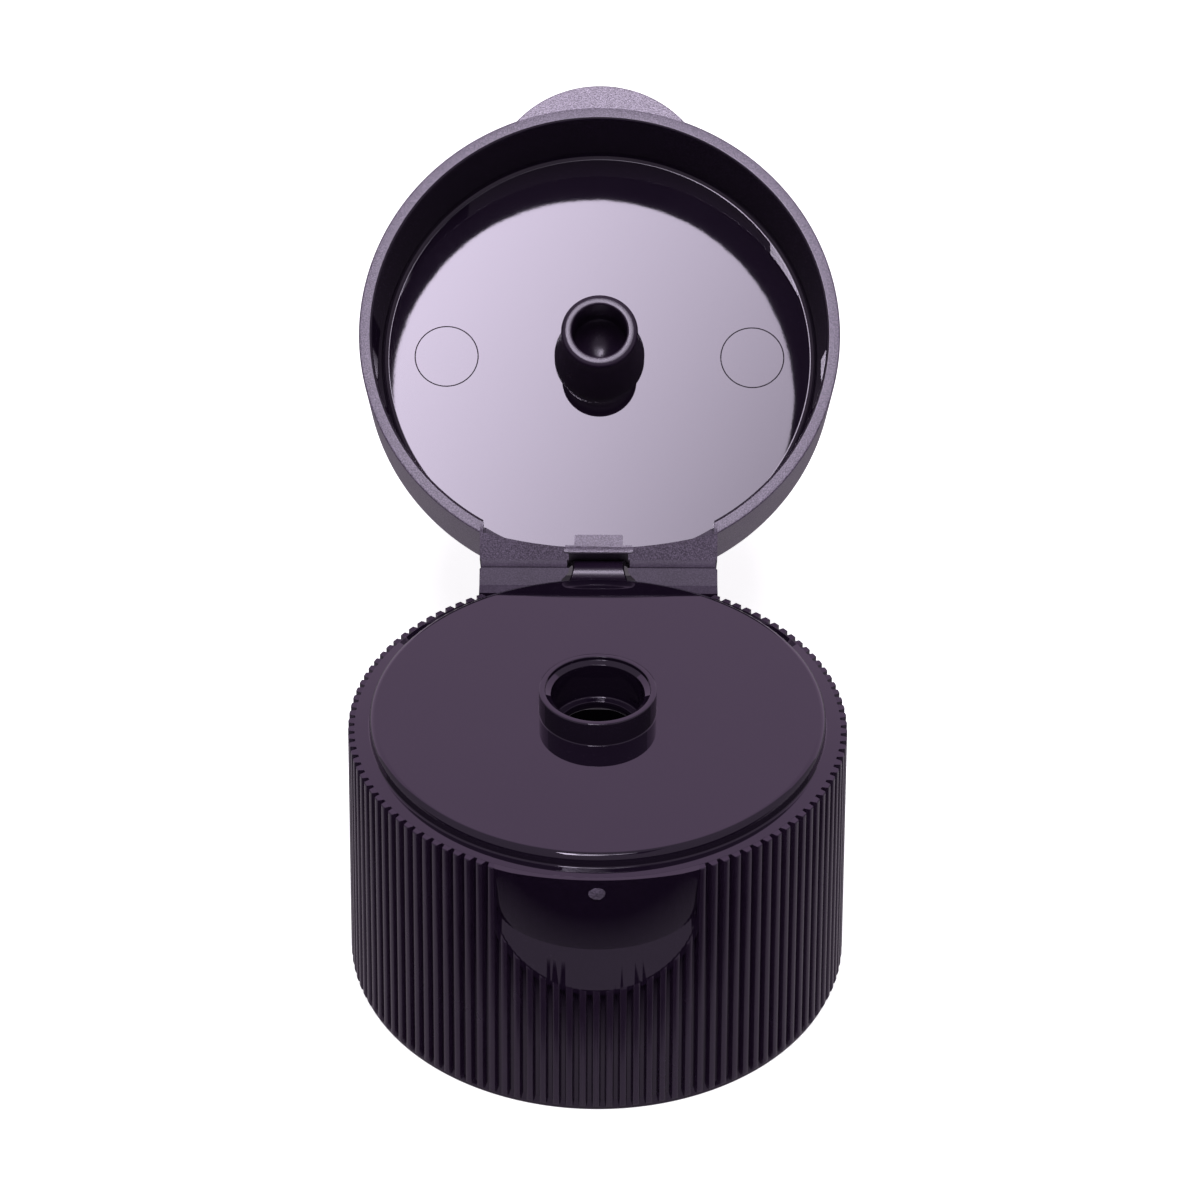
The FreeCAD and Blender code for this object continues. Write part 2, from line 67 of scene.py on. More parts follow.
def roundOff(corners, closed=True, perQuarter=4):
    # corners are (a, b) or (a, b, radius); a rounded one becomes a short run of points
    points, count = [], len(corners)
    for index, corner in enumerate(corners):
        here = Vector(corner[:2])
        atEnd = not closed and index in (0, count - 1)
        if len(corner) < 3 or atEnd:
            points.append(here)
            continue
        before = (Vector(corners[index - 1][:2]) - here).normalized()
        after = (Vector(corners[(index + 1) % count][:2]) - here).normalized()
        turn = math.pi - before.angle(after)
        reach = corner[2] * math.tan(turn / 2)
        centre = here + (before + after).normalized() * math.hypot(corner[2], reach)
        start, end = here + before * reach - centre, here + after * reach - centre
        way = 1 if start.x * end.y - start.y * end.x > 0 else -1
        steps = max(1, round(perQuarter * turn / (math.pi / 2)))
        for step in range(steps + 1):
            points.append(centre + Matrix.Rotation(way * turn * step / steps, 2) @ start)
    return points


def drawChain(name, points, closed=True):
    # one vertex, extruded from point to point; stays in edit mode
    clearSelection()
    bpy.ops.mesh.primitive_plane_add(size=1)
    piece = bpy.context.object
    piece.name = piece.data.name = name
    bpy.ops.object.mode_set(mode="EDIT")
    bpy.ops.mesh.select_mode(type="VERT")
    bpy.ops.mesh.select_all(action="SELECT")
    bpy.ops.mesh.merge(type="CENTER")
    bpy.ops.transform.translate(value=points[0])
    run = list(points) + (list(points[:1]) if closed else [])
    for start, end in zip(run, run[1:]):
        bpy.ops.mesh.extrude_region_move(TRANSFORM_OT_translate={"value": Vector(end) - Vector(start)})
    bpy.ops.mesh.select_all(action="SELECT")
    bpy.ops.mesh.remove_doubles(threshold=0.0005)
    return piece


def closeUp():
    bpy.ops.mesh.select_all(action="SELECT")
    bpy.ops.mesh.remove_doubles(threshold=0.0005)
    bpy.ops.mesh.normals_make_consistent(inside=False)
    leaveEdit()


def spinPiece(name, corners, steps, closed=True, perQuarter=4):
    # (radius, height) corners turned round the cap's axis
    points = [(a, 0, b) for a, b in roundOff(corners, closed, perQuarter)]
    piece = drawChain(name, points, closed)
    bpy.ops.mesh.spin(steps=steps, angle=2 * math.pi, center=(0, 0, 0), axis=(0, 0, 1))
    closeUp()
    return piece


def prismPiece(name, points, push):
    # a closed outline of 3-D points, filled and pushed along a vector
    piece = drawChain(name, points)
    bpy.ops.mesh.edge_face_add()
    bpy.ops.mesh.extrude_region_move(TRANSFORM_OT_translate={"value": push})
    closeUp()
    return piece


def bridgePiece(name, first, second):
    # two outlines with as many points each, joined by faces and closed at both ends
    other = drawChain(name + "End", second)
    bpy.ops.mesh.edge_face_add()
    leaveEdit()
    piece = drawChain(name, first)
    bpy.ops.mesh.edge_face_add()
    leaveEdit()
    selectOnly(piece, other)
    bpy.ops.object.join()
    bpy.ops.object.mode_set(mode="EDIT")
    bpy.ops.mesh.select_mode(type="EDGE")
    bpy.ops.mesh.select_all(action="SELECT")
    bpy.ops.mesh.bridge_edge_loops()
    closeUp()
    return piece


def combine(piece, tool, operation="DIFFERENCE"):
    selectOnly(piece)
    modifier = piece.modifiers.new("combine", "BOOLEAN")
    modifier.operation, modifier.solver, modifier.object = operation, "EXACT", tool
    bpy.ops.object.modifier_apply(modifier=modifier.name)
    bpy.data.objects.remove(tool)


def selectWhere(piece, test, kind="VERT"):
    # chooses vertices, edges or faces by the place of their middle; stays in edit mode
    bpy.ops.object.mode_set(mode="EDIT")
    bpy.ops.mesh.select_mode(type=kind)
    bpy.ops.mesh.select_all(action="DESELECT")
    leaveEdit()
    mesh = piece.data
    if kind == "VERT":
        for item in mesh.vertices:
            item.select = test(item.co)
    elif kind == "EDGE":
        for item in mesh.edges:
            start, end = (mesh.vertices[index].co for index in item.vertices)
            item.select = test((start + end) / 2)
    else:
        for item in mesh.polygons:
            item.select = test(item.center)
    bpy.ops.object.mode_set(mode="EDIT")


def markOutline():
    # the selected faces keep their own shading, apart from their neighbours'
    bpy.ops.mesh.region_to_loop()
    bpy.ops.mesh.mark_sharp()
    leaveEdit()


def finishPiece(piece, body, placement=Matrix.Identity(4), smoothAngle=32, areaWeight=90):
    # smooth faces, own place in the mesh, metres, and the body it rides on
    selectOnly(piece)
    piece.matrix_world = Matrix.Diagonal((millimetre,) * 3).to_4x4() @ placement
    applyPlace()
    bpy.ops.object.shade_smooth_by_angle(angle=math.radians(smoothAngle))
    modifier = piece.modifiers.new("normals", "WEIGHTED_NORMAL")
    modifier.keep_sharp = True
    modifier.weight = areaWeight
    bpy.ops.object.modifier_apply(modifier=modifier.name)
    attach(piece, body)


# Materials
class Wire:
    # a node's output; + - * / between wires and numbers add Math nodes
    def __init__(self, tree, socket):
        self.tree, self.socket = tree, socket

    def joined(self, operation, first, second):
        return self.tree.node("ShaderNodeMath", {"operation": operation}, {0: first, 1: second})

    def __add__(self, other):
        return self.joined("ADD", self, other)

    def __radd__(self, other):
        return self.joined("ADD", other, self)

    def __sub__(self, other):
        return self.joined("SUBTRACT", self, other)

    def __rsub__(self, other):
        return self.joined("SUBTRACT", other, self)

    def __mul__(self, other):
        return self.joined("MULTIPLY", self, other)


class Finish:
    # a material's node tree, with one method that adds a node and sets or links its sockets
    def __init__(self, name):
        self.material = bpy.data.materials.new(name)
        self.material.use_nodes = True
        self.tree = self.material.node_tree
        self.tree.nodes.clear()

    def node(self, kind, settings=None, inputs=None, output=0):
        made = self.tree.nodes.new(kind)
        for key, value in (settings or {}).items():
            if key == "stops":
                ramp = made.color_ramp
                for index, (place, colour) in enumerate(value):
                    stop = ramp.elements[index] if index < 2 else ramp.elements.new(place)
                    stop.position, stop.color = place, colour
            else:
                setattr(made, key, value)
        for key, value in (inputs or {}).items():
            if isinstance(value, Wire):
                self.tree.links.new(value.socket, made.inputs[key])
            else:
                made.inputs[key].default_value = value
        return Wire(self, made.outputs[output]) if len(made.outputs) else None

    def output(self, shader):
        self.node("ShaderNodeOutputMaterial", None, {"Surface": shader})
        return self.material


violetCast = (0.93, 0.85, 1.0, 1)


def plasticFinish(name, look):
    # black plastic with a violet cast; look gives its gloss, grain and speckle
    finish = Finish(name)
    place = finish.node("ShaderNodeTexCoord", None, None, "Object")
    drift = finish.node("ShaderNodeTexNoise", None, {
        "Vector": place, "Scale": look["driftScale"], "Detail": 3.0})
    grain = finish.node("ShaderNodeTexNoise", None, {
        "Vector": place, "Scale": look["grainScale"], "Detail": 2.0})
    speckle = finish.node("ShaderNodeValToRGB", {"stops": [
        (look["speckleStart"], (0, 0, 0, 1)), (look["speckleEnd"], (1, 1, 1, 1))]}, {"Fac": grain})
    amount = speckle * look["speckle"] + drift * look["drift"]
    colour = finish.node("ShaderNodeMix", {"data_type": "RGBA"}, {
        "Factor": amount, 6: look["dark"] + (1,), 7: look["light"] + (1,)}, 2)
    roughness = look["roughness"] + (drift - 0.5) * look["roughnessDrift"]
    bump = finish.node("ShaderNodeBump", None, {
        "Strength": 1.0, "Distance": look["grainHeight"] * millimetre, "Height": grain})
    wave = finish.node("ShaderNodeBump", None, {
        "Strength": 1.0, "Distance": look["driftHeight"] * millimetre, "Height": drift, "Normal": bump})
    shader = finish.node("ShaderNodeBsdfPrincipled", None, {
        "Base Color": colour, "Roughness": roughness, "Normal": wave,
        "Specular IOR Level": look["shine"], "Specular Tint": violetCast})
    return finish.output(shader)


polishedLook = {
    "dark": (0.006, 0.003, 0.009), "light": (0.03, 0.022, 0.036),
    "roughness": 0.011, "roughnessDrift": 0.004, "shine": 0.55,
    "driftScale": 180.0, "drift": 0.12, "driftHeight": 0.0006,
    "grainScale": 5200.0, "grainHeight": 0.00002, "speckleStart": 0.68, "speckleEnd": 0.74, "speckle": 0.25,
}
satinLook = {
    "dark": (0.009, 0.004, 0.013), "light": (0.03, 0.018, 0.039),
    "roughness": 0.26, "roughnessDrift": 0.08, "shine": 0.55,
    "driftScale": 420.0, "drift": 0.3, "driftHeight": 0.002,
    "grainScale": 9000.0, "grainHeight": 0.0015, "speckleStart": 0.6, "speckleEnd": 0.75, "speckle": 0.25,
}
erodedLook = {
    "dark": (0.014, 0.009, 0.018), "light": (0.25, 0.205, 0.3),
    "roughness": 0.4, "roughnessDrift": 0.12, "shine": 0.75,
    "driftScale": 300.0, "drift": 0.2, "driftHeight": 0.003,
    "grainScale": 12000.0, "grainHeight": 0.02, "speckleStart": 0.4, "speckleEnd": 0.75, "speckle": 0.5,
}
# The tab keeps the eroded grain, but its lighter colour and extra speckle are painted light, standing in for
# the lamp falling on the tab
tabLitLook = dict(erodedLook, roughness=0.34, shine=1.0, speckle=0.6, light=(0.4, 0.335, 0.46))
webLook = dict(erodedLook, roughness=0.62, shine=0.45, speckle=0.16, grainHeight=0.02)
polished = plasticFinish("polishedPlastic", polishedLook)
web = plasticFinish("webPlastic", webLook)
tabLitFinish = plasticFinish("tabPlasticPaintedLight", tabLitLook)
satin = plasticFinish("satinPlastic", satinLook)
eroded = plasticFinish("erodedPlastic", erodedLook)
print("materials made")


# Thumb recess, one tool for all that it cuts: a scoop that opens outwards, less the recess's own wall
recess = {
    "half": 5.4, "innerFoot": 11.0, "innerRise": 3.1, "outerFoot": 8.75, "outerRise": 4.6,
    "outerReach": 14.13, "beyond": 15.2, "toolTop": 21.23, "arcSteps": 40,
    "wallReach": 13.22, "wallRadius": 17.9, "wallLean": 0.113, "wallTall": 40, "wallSteps": 240,
    "front": 11.5, "ribSetback": 0.07,
    "collar": 0.32, "collarInset": 0.05, "collarFoot": 5.0, "collarSink": 0.4,
    "lipFoot": 12.4, "lipDrop": 0.004, "lipMargin": 0.1, "lipBoxNear": 11, "lipBoxFar": 15, "lipBoxFoot": 10,
    "gateRadius": 0.47, "gateDrop": 0.98, "gateHeight": 0.07, "gateBulge": 1.6, "gateOffset": 0.4,
    "gateRoughness": 0.035, "gateSeed": 4,
}


def scoopSolid(name, grow):
    # bow-shaped outlines inside and outside the skirt, bridged; grow widens them for the collar
    r = recess
    half, top = r["half"] + grow, r["toolTop"]
    inside, outside = [], []
    for step in range(r["arcSteps"] + 1):
        turn = math.pi * (step / r["arcSteps"] - 0.5)
        x, drop = half * math.sin(turn), 1 - math.cos(turn)
        wallPoint = Vector((x, r["wallRadius"] - r["wallReach"] - math.sqrt(r["wallRadius"] ** 2 - x * x),
                            r["innerFoot"] - grow + drop * r["innerRise"]))
        rimPoint = Vector((x, -math.sqrt(r["outerReach"] ** 2 - x * x),
                           r["outerFoot"] - grow + drop * r["outerRise"]))
        run = rimPoint - wallPoint
        inside.append(wallPoint - run)
        outside.append(rimPoint + run * ((-r["beyond"] - rimPoint.y) / run.y))
    for row in (inside, outside):
        row.append(Vector((half, row[-1].y, top)))
        row.append(Vector((-half, row[0].y, top)))
    return bridgePiece(name, inside, outside)


def recessTool(grow=0):
    r = recess
    tool = scoopSolid("recessTool", grow)
    tall = r["wallTall"]
    clearSelection()
    bpy.ops.mesh.primitive_cylinder_add(
        vertices=r["wallSteps"], radius=r["wallRadius"], depth=tall,
        location=(0, r["wallRadius"] - r["wallReach"] + grow, r["innerFoot"]))
    wall = bpy.context.object
    applyPlace()
    selectWhere(wall, lambda at: at.z > r["innerFoot"])
    bpy.ops.transform.translate(value=(0, -r["wallLean"] * tall / 2, 0))
    selectWhere(wall, lambda at: at.z < r["innerFoot"])
    bpy.ops.transform.translate(value=(0, r["wallLean"] * tall / 2, 0))
    leaveEdit()
    combine(tool, wall)
    return tool


def recessCollar():
    # fills the grooves round the scoop, so that its edge stays whole, and a lip under the ledge
    r, c = recess, closure
    lean = (rib["foot"] - rib["top"]) / c["skirtHeight"]
    low, high = r["collarFoot"], r["innerFoot"] + r["innerRise"]
    inner, lipTop = c["neckRadius"] + r["collarSink"], c["skirtHeight"] - r["lipDrop"]
    collar = spinPiece("recessCollar", [
        (inner, low), (rib["foot"] - r["collarInset"] - lean * low, low),
        (rib["foot"] - r["collarInset"] - lean * high, high), (inner, high)], c["turnSteps"])
    combine(collar, scoopSolid("collarTool", r["collar"]), "INTERSECT")
    lip = spinPiece("recessLip", [
        (inner, r["lipFoot"]), (rib["top"], r["lipFoot"]), (rib["top"], lipTop), (inner, lipTop)],
        c["turnSteps"])
    half, foot = r["half"] + r["lipMargin"], r["lipBoxFoot"]
    near, far = -r["lipBoxNear"], -r["lipBoxFar"]
    corners = [(-half, far, foot), (half, far, foot), (half, near, foot), (-half, near, foot)]
    combine(lip, prismPiece("lipTool", corners, (0, 0, foot)), "INTERSECT")
    combine(collar, lip, "UNION")
    return collar


def onRecessWall(at):
    # true on the leaning curved wall
    r = recess
    middle = r["wallRadius"] - r["wallReach"] - r["wallLean"] * (at.z - r["innerFoot"])
    near = at.y < -r["front"] and abs(at.x) < r["half"] + 0.02
    return near and abs(math.hypot(at.x, at.y - middle) - r["wallRadius"]) < 0.03


def onScoop(at):
    # true on the scoop's sloping floor
    r = recess
    near = at.y < -r["front"] and abs(at.x) < r["half"] - 0.01
    level = r["outerFoot"] < at.z < r["innerFoot"] + r["innerRise"]
    return near and level and at.xy.length < r["outerReach"] - 0.03 and not onRecessWall(at)


def gateMark():
    # rough round scar left by the mould's gate, standing a little out of the recess's wall
    r = recess
    height = closure["skirtHeight"] - r["gateDrop"]
    reach = r["wallReach"] + r["wallLean"] * (height - r["innerFoot"])
    clearSelection()
    bpy.ops.mesh.primitive_uv_sphere_add(segments=40, ring_count=20, radius=r["gateRadius"])
    mark = bpy.context.object
    mark.name = mark.data.name = "gateMark"
    mark.scale = (1, r["gateHeight"] / r["gateRadius"] * r["gateBulge"], 1)
    mark.location = (0, -reach + r["gateHeight"] * r["gateOffset"], height)
    applyPlace()
    bpy.ops.object.mode_set(mode="EDIT")
    bpy.ops.mesh.select_all(action="SELECT")
    bpy.ops.transform.vertex_random(offset=r["gateRoughness"], seed=r["gateSeed"])
    leaveEdit()
    return mark


closure = {
    "skirtHeight": 16.4, "deckTop": 17.23, "deckRadius": 12.8, "turnSteps": 256,
    "bandRadius": 14.14, "bandHeight": 0.3, "bandSlope": 0.3, "grooveFoot": 13.96, "grooveTop": 13.64,
    "spoutRadius": 3.29, "spoutTop": 18.73, "mouthRadius": 2.95, "mouthDepth": 0.22, "seatSlope": 0.12,
    "boreRadius": 2.62, "landDepth": 2.6, "orificeRadius": 2.18, "deckUnderside": 15.63,
    "neckRadius": 12.2, "sealRadius": 6.5, "sealWall": 0.8, "sealDepth": 2.8, "sealTaper": 0.2,
}


def closureShell():
    c = closure
    land, seat = c["spoutTop"] - c["landDepth"], c["spoutTop"] - c["mouthDepth"]
    under, sealFoot = c["deckUnderside"], c["deckUnderside"] - c["sealDepth"]
    return spinPiece("closureShell", [
        (c["neckRadius"], 0, 0.15), (c["bandRadius"], 0, 0.12), (c["bandRadius"], c["bandHeight"], 0.1),
        (c["grooveFoot"], c["bandHeight"] + c["bandSlope"], 0.1), (c["grooveTop"], c["skirtHeight"], 0.03),
        (c["deckRadius"], c["skirtHeight"], 0.1), (c["deckRadius"], c["deckTop"], 0.38),
        (c["spoutRadius"], c["deckTop"], 0.06), (c["spoutRadius"], c["spoutTop"], 0.07),
        (c["mouthRadius"], c["spoutTop"], 0.04), (c["mouthRadius"], seat, 0.04),
        (c["boreRadius"], seat - c["seatSlope"], 0.04), (c["boreRadius"], land, 0.12),
        (c["orificeRadius"], land, 0.05), (c["orificeRadius"], under, 0.05),
        (c["sealRadius"] - c["sealWall"], under, 0.15), (c["sealRadius"] - c["sealWall"], sealFoot, 0.1),
        (c["sealRadius"] - c["sealTaper"], sealFoot, 0.25), (c["sealRadius"], under, 0.2),
        (c["neckRadius"], under, 0.3)], c["turnSteps"])


rib = {
    "count": 120, "crestWidth": 0.34, "rootWidth": 0.58, "foot": 14.32, "top": 14.0, "root": 13.84,
    "footHeight": 0.33, "topDrop": 0.005, "edgeRound": 0.15, "footRound": 0.2, "topRound": 0.05,
    "panelHalf": 6.8,
}


def gripRibs():
    # one leaning rib with rounded crest and ends, copied round the skirt
    clearSelection()
    height = closure["skirtHeight"] - rib["topDrop"] - rib["footHeight"]
    bpy.ops.mesh.primitive_cube_add(size=1)
    one = bpy.context.object
    one.scale = (rib["foot"] - rib["root"], rib["rootWidth"], height)
    one.location = ((rib["foot"] + rib["root"]) / 2, 0, rib["footHeight"] + height / 2)
    applyPlace()
    crest = (rib["foot"] + rib["root"]) / 2
    middle = rib["footHeight"] + height / 2
    selectWhere(one, lambda at: at.x > crest)
    bpy.ops.transform.resize(value=(1, rib["crestWidth"] / rib["rootWidth"], 1), center_override=(0, 0, 0))
    selectWhere(one, lambda at: at.z > middle)
    bpy.ops.transform.translate(value=(rib["top"] - rib["foot"], 0, 0))
    lean = (rib["top"] - rib["foot"]) / height

    def outer(at):
        return at.x > crest + lean * (at.z - rib["footHeight"]) + 0.05

    selectWhere(one, lambda at: outer(at) and abs(at.y) < 0.01 and at.z < middle - 1, "EDGE")
    bpy.ops.mesh.bevel(offset=rib["footRound"], segments=2, affect="EDGES")
    selectWhere(one, lambda at: outer(at) and abs(at.y) < 0.01 and at.z > middle + 1, "EDGE")
    bpy.ops.mesh.bevel(offset=rib["topRound"], segments=1, affect="EDGES")
    selectWhere(one, lambda at: outer(at) and abs(at.y) > 0.01 and abs(at.z - middle) < 1, "EDGE")
    bpy.ops.mesh.bevel(offset=rib["edgeRound"], segments=3, affect="EDGES")
    leaveEdit()
    copies = [one]
    for index in range(1, rib["count"]):
        copy = one.copy()
        copy.data = one.data.copy()
        bpy.context.scene.collection.objects.link(copy)
        copy.rotation_euler = (0, 0, 2 * math.pi * index / rib["count"])
        copies.append(copy)
    for copy in list(copies):
        turn = copy.rotation_euler.z
        if math.sin(turn) > 0 and abs(math.cos(turn)) * rib["top"] < rib["panelHalf"]:
            copies.remove(copy)
            bpy.data.objects.remove(copy)
    selectOnly(*copies)
    bpy.ops.object.join()
    ribs = bpy.context.object
    ribs.name = ribs.data.name = "gripRibs"
    applyPlace()
    return ribs


panel = {
    "half": 7.0, "footReach": 14.42, "topReach": 14.02, "top": 17.06, "rampFoot": 13.1, "rampDrop": 0.02,
    "inside": 12.3, "edgeRound": 0.15,
}
hingeWindow = {
    "topHalf": 1.75, "throat": 0.25, "shoulderHalf": 3.2, "shoulderDrop": 1.2, "footHalf": 3.35, "drop": 4.1,
    "floor": 13.1, "push": 3,
}


def hingePanel():
    # side outline pushed across, its long edges rounded, then the strap's window cut
    p = panel
    rampFoot = closure["skirtHeight"] - p["rampDrop"]
    side = roundOff([(p["inside"], 0.1), (p["footReach"], 0, 0.15), (p["topReach"], p["top"], 0.05),
                     (p["rampFoot"], rampFoot), (p["inside"], rampFoot)])
    piece = prismPiece("hingePanel", [(-p["half"], y, z) for y, z in side], (2 * p["half"], 0, 0))
    selectWhere(piece, lambda at: abs(at.x) > p["half"] - 0.01 and at.y > p["topReach"] - 0.1, "EDGE")
    bpy.ops.mesh.bevel(offset=p["edgeRound"], segments=3, affect="EDGES")
    leaveEdit()
    w, line = hingeWindow, hinge.z
    half = [(w["footHalf"], line - w["drop"]), (w["shoulderHalf"], line - w["shoulderDrop"]),
            (w["topHalf"], line - w["throat"]), (w["topHalf"], line + 1)]
    outline = half + [(-x, z) for x, z in reversed(half)]
    combine(piece, prismPiece("windowTool", [(x, w["floor"], z) for x, z in outline], (0, w["push"], 0)))
    return piece


thread = {
    "wall": 12.26, "crest": 11.3, "rootHalf": 0.95, "crestHalf": 0.3, "start": 3.2, "pitch": 3.175,
    "turns": 1.5, "stepsPerTurn": 96, "leadOut": 0.55, "endHeight": 0.1,
}


def neckThread():
    # a trapezoid wound up the inside of the neck socket, its two ends sloped back to the wall
    t = thread
    profile = [(t["wall"], -t["rootHalf"]), (t["crest"], -t["crestHalf"]), (t["crest"], t["crestHalf"]),
               (t["wall"], t["rootHalf"])]
    piece = drawChain("neckThread", [(a, 0, t["start"] + b) for a, b in profile])
    leaveEdit()
    turnedEnd = 2 * math.pi * t["turns"]
    winding = piece.modifiers.new("winding", "SCREW")
    winding.angle, winding.screw_offset = turnedEnd, t["pitch"] * t["turns"]
    winding.steps = round(t["stepsPerTurn"] * t["turns"])
    selectOnly(piece)
    bpy.ops.object.modifier_apply(modifier=winding.name)
    bpy.ops.object.mode_set(mode="EDIT")
    bpy.ops.mesh.select_mode(type="EDGE")
    bpy.ops.mesh.select_all(action="DESELECT")
    bpy.ops.mesh.select_non_manifold(extend=False)
    bpy.ops.mesh.fill_holes(sides=8)
    for angle, height in ((0, t["start"]), (turnedEnd, t["start"] + t["pitch"] * t["turns"])):
        end = Vector((t["crest"] * math.cos(angle), t["crest"] * math.sin(angle), height))
        selectWhere(piece, lambda at: (at - end).length < t["leadOut"])
        outwards = Vector((math.cos(angle), math.sin(angle), 0)) * (t["wall"] - t["crest"] - t["endHeight"])
        bpy.ops.transform.translate(value=outwards)
    closeUp()
    return piece


shell = closureShell()
threadPiece = neckThread()
ribs = gripRibs()
combine(shell, recessCollar(), "UNION")
combine(shell, recessTool())
# The recess's two surfaces keep their own shading, so their mirrored pictures stay clean
for surface in (onRecessWall, onScoop):
    selectWhere(shell, surface, "FACE")
    bpy.ops.mesh.dissolve_limited(angle_limit=0.002)
    markOutline()
combine(ribs, recessTool(recess["ribSetback"]))
panelPiece = hingePanel()
markPiece = gateMark()
markPiece.data.materials.append(eroded)
shell.data.materials.append(polished)
ribs.data.materials.append(satin)
panelPiece.data.materials.append(satin)
panelPiece.data.materials.append(web)
for face in panelPiece.data.polygons:
    face.material_index = 1 if face.normal.z > 0.4 or face.center.z > closure["skirtHeight"] else 0
threadPiece.data.materials.append(satin)
finishPiece(shell, "closure", smoothAngle=24, areaWeight=50)
for piece in (ribs, panelPiece, threadPiece, markPiece):
    finishPiece(piece, "closure")
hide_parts("closure_body")
print("closure made")

# Lid, modelled shut on the ledge and then swung open
lid = {
    "rimGap": 0.06, "rimRadius": 14.38, "crownRadius": 14.22, "height": 6.6, "edgeRound": 0.9,
    "mouthRadius": 13.6, "floorRadius": 13.12, "mouthRound": 0.16, "depth": 4.75, "floorRound": 0.35,
    "roundLow": 0.28, "roundHigh": 0.36, "roundInset": 0.032, "polishedLip": 0.18, "turnSteps": 256,
    "wallReach": 13.38, "wallRadius": 28.6, "wallRoot": 0.6, "wallSteps": 14, "bayHalf": 6.8,
    "backDraft": 0.12, "partingStart": 12.5, "partingLift": 0.04,
    "trimHalf": 7.5, "trimReach": 17, "trimTop": 9,
    "tongueHalf": 1.43, "tongueReach": 12.4, "tongueEnd": 0.95, "tongueSink": 0.25, "tongueRound": 0.1,
    "tongueLap": 0.1,
    "stepHalf": 2.03, "stepReach": 13.2, "stepDepth": 0.44, "stepEnd": 0.38,
    "windowFloor": 13.67, "windowDrop": 3.4,
    "pinReach": 9.3, "pinRadius": 1.915, "pinGroove": 0.035, "pinSteps": 96,
    "tabRadius": 6.75, "tabReach": 15.8, "tabThickness": 1.5, "tabTopRadius": 6.26, "tabLift": 0.004,
    "tabRound": 0.12, "tabSteps": 160,
}
plug = {
    "rootRadius": 2.735, "rootHeight": 0.45, "neckRadius": 2.12, "neckHeight": 3.2, "beadRadius": 2.3,
    "beadHeight": 0.75, "length": 4.9, "holeRadius": 1.65, "holeDepth": 3.6, "holeCone": 1.0,
    "sink": 0.3, "beadSlope": 0.2, "turnSteps": 96,
}


def lidPiece():
    l = lid
    piece = spinPiece("lidShell", [
        (0, l["height"]), (l["crownRadius"], l["height"], l["edgeRound"]), (l["rimRadius"], 0, 0.1),
        (l["mouthRadius"], 0, l["mouthRound"]), (l["floorRadius"], l["depth"], l["floorRound"]),
        (0, l["depth"])],
        l["turnSteps"], closed=False, perQuarter=6)
    for level in (l["depth"], l["height"]):
        selectWhere(piece, lambda at: abs(at.z - level) < 0.001, "FACE")
        bpy.ops.mesh.dissolve_faces()
        leaveEdit()
    hingeWall(piece)
    openingTab(piece)
    trimBack(piece)
    steppedTongue(piece)
    pinRings(piece)
    lidWindow(piece)
    return piece


def hingeWall(piece):
    # the round wall gives way to a flatter one at the hinge
    l = lid
    half, reach = l["bayHalf"], l["wallReach"]
    bay = prismPiece("bayTool", [(-half, reach * 0.5, -1), (half, reach * 0.5, -1), (half, reach, -1),
                                 (-half, reach, -1)], (0, 0, 1 + l["depth"]))
    combine(piece, bay)
    outer, centre = panel["half"], reach - l["wallRadius"]
    curve = [half * (1 - step / l["wallSteps"]) for step in range(2 * l["wallSteps"] + 1)]
    inner = [(x, centre + math.sqrt(l["wallRadius"] ** 2 - x * x)) for x in curve]
    root = inner[0][1] - l["wallRoot"]
    around = [(-half, root), (-outer, root), (-outer, hinge.y), (outer, hinge.y), (outer, root), (half, root)]
    wall = prismPiece("wallTool", [(x, y, 0) for x, y in around + inner], (0, 0, l["height"]))
    combine(piece, wall, "UNION")


def openingTab(piece):
    # a flat cone with rounded edges, less what would lie inside the lid
    l = lid
    clearSelection()
    bpy.ops.mesh.primitive_cone_add(
        vertices=l["tabSteps"], radius1=l["tabRadius"], radius2=l["tabTopRadius"], depth=l["tabThickness"],
        location=(0, l["tabRadius"] - l["tabReach"], l["tabThickness"] / 2 + l["tabLift"]))
    tab = bpy.context.object
    applyPlace()
    selectWhere(tab, lambda at: abs(at.z) < 0.01 or at.z > l["tabThickness"] - 0.01, "EDGE")
    bpy.ops.mesh.bevel(offset=l["tabRound"], segments=3, affect="EDGES")
    leaveEdit()
    clearSelection()
    bpy.ops.mesh.primitive_cylinder_add(
        vertices=l["turnSteps"], radius=(l["mouthRadius"] + l["rimRadius"]) / 2, depth=12)
    combine(tab, bpy.context.object)
    combine(piece, tab, "UNION")


def trimBack(piece):
    # the lid's back, from the ramp at the parting line up to the rounded top edge
    l = lid
    start, far, top = l["partingStart"], l["trimReach"], l["trimTop"]
    back = panel["topReach"] - l["backDraft"]
    crown = (back - l["edgeRound"], l["height"])
    parting = hinge.z - closure["skirtHeight"] - l["rimGap"] + l["partingLift"]
    corners = roundOff([(start, -1), (far, -1), (far, top), (crown[0], top), crown])
    rounded = [crown, (back, l["height"], l["edgeRound"]), (panel["topReach"], parting)]
    corners += roundOff(rounded, False, 6)[1:]
    outline = [(-l["trimHalf"], y, z) for y, z in corners + [Vector((start, 0))]]
    combine(piece, prismPiece("trimTool", outline, (2 * l["trimHalf"], 0, 0)))


